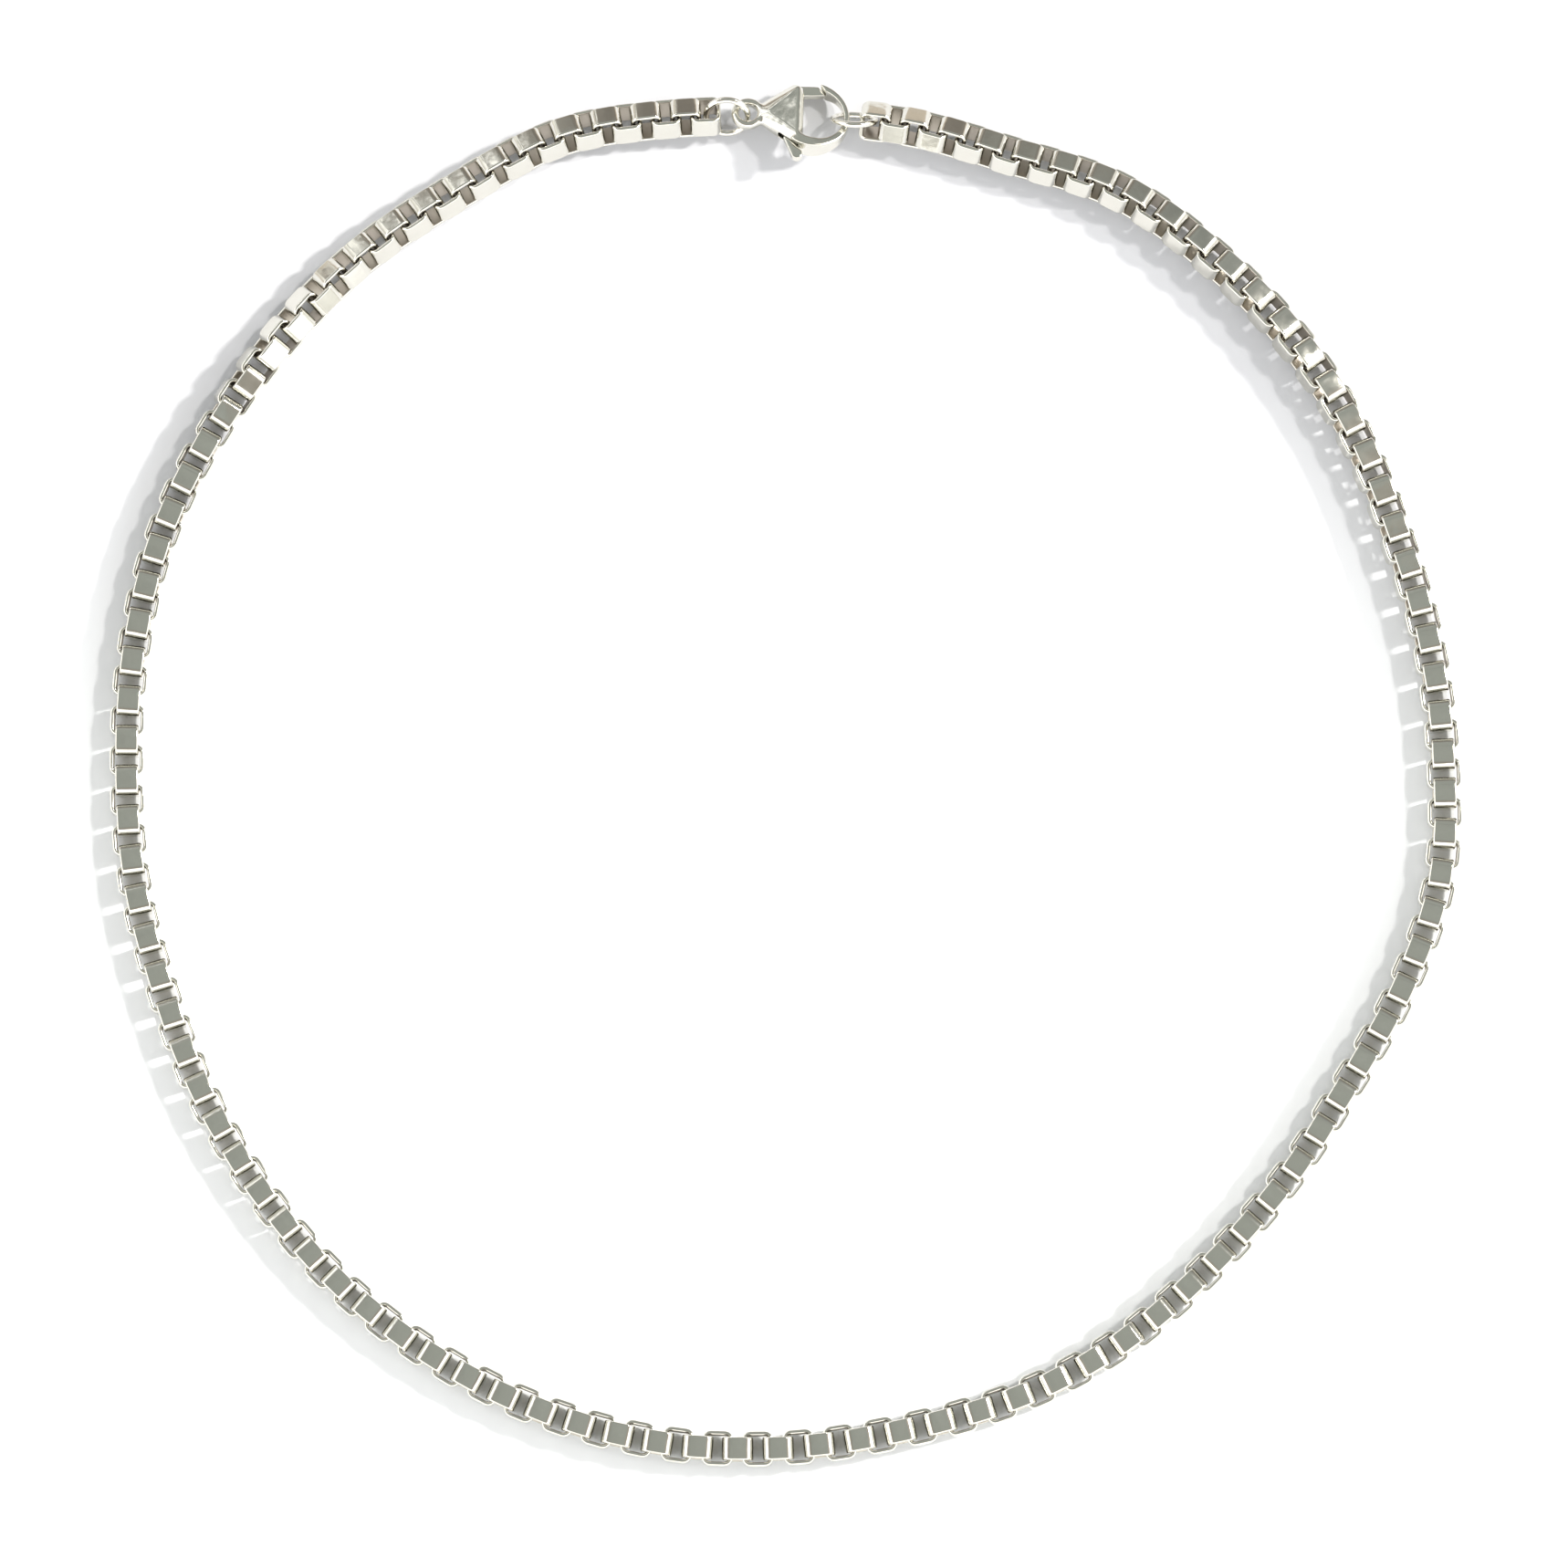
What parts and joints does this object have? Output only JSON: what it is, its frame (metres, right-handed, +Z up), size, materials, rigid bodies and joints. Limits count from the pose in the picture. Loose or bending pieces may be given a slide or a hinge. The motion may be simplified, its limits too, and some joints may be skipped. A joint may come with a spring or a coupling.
{
  "type": "necklace",
  "caption": "Closed box chain necklace: square bent-strip links that pass through each other, two jump rings and a faceted lobster clasp with a sprung lever.",
  "frame": {"origin": "on the surface that the necklace lies on, under the middle of its outer size", "axes": "+Z up from the surface, +Y from the loop's middle to the clasp, +X to the side of the clasp's hook"},
  "size_m": [0.1482, 0.1524, 0.0052],
  "materials": {
    "chain_silver": "polished",
    "clasp_silver": "polished",
    "ring_silver": "polished"
  },
  "bodies": {
    "necklace": {"chain": "chain_silver", "clasp_body": "clasp_silver", "ring_eye": "ring_silver", "ring_hook": "ring_silver"},
    "lever": {"clasp_lever": "clasp_silver"}
  },
  "joints": [
    {"name": "lever_pivot", "type": "hinge", "parent": "necklace", "child": "lever", "pos_m": [0.00023, 0.07298, 0.00231], "axis": [-0.0105, -0.3254, -0.9455], "range_deg": [0, 14], "stiffness_Nm_per_rad": 0.01, "springref_deg": -57.3}
  ]
}
